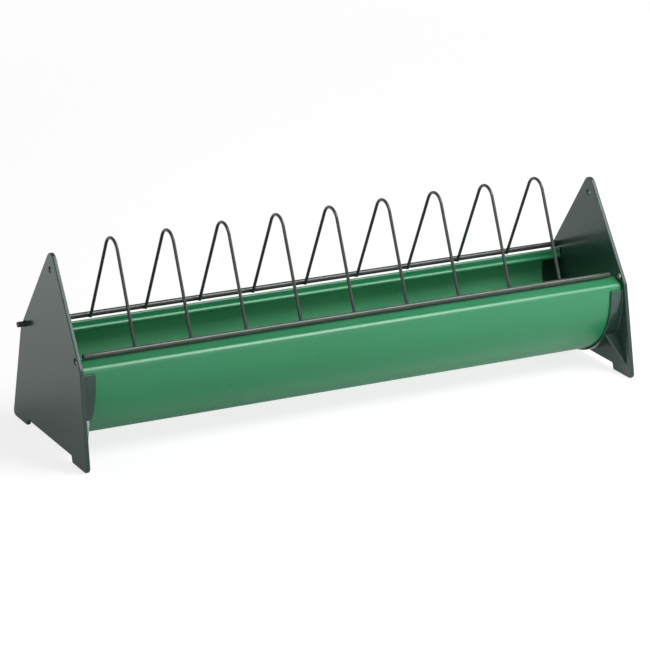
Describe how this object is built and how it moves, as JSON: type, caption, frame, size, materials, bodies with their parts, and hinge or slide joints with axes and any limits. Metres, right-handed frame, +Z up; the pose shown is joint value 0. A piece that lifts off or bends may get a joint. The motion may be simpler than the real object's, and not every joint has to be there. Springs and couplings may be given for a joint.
{
  "type": "poultry trough feeder",
  "caption": "Long half-round feed trough held between A-shaped end plates with feet, under a hinged wire grille of inverted V hoops that keeps the birds out of the feed.",
  "frame": {"origin": "centre of the bounding box in plan, on the surface that the feet stand on", "axes": "+X along the trough towards the right end plate, -Y towards the front lip that the grille rests on, +Z up"},
  "size_m": [0.77, 0.2222, 0.246],
  "materials": {
    "trough": "satin mid green extruded plastic",
    "end_plate": "semi-gloss green-black moulded plastic",
    "wire": "dark green coated steel"
  },
  "bodies": {
    "stand": {"trough": "trough", "left_end_plate": "end_plate", "right_end_plate": "end_plate"},
    "grille": {"hinge_rod": "wire", "front_rod": "wire", "feeding_hoop_1": "wire", "feeding_hoop_2": "wire", "feeding_hoop_3": "wire", "feeding_hoop_4": "wire", "feeding_hoop_5": "wire", "feeding_hoop_6": "wire", "feeding_hoop_7": "wire", "feeding_hoop_8": "wire", "feeding_hoop_9": "wire"}
  },
  "joints": [
    {"name": "grille_hinge", "type": "hinge", "parent": "stand", "child": "grille", "pos_m": [0, 0.0755, 0.1276], "axis": [-1, 0, 0], "range_deg": [0, 180]}
  ]
}
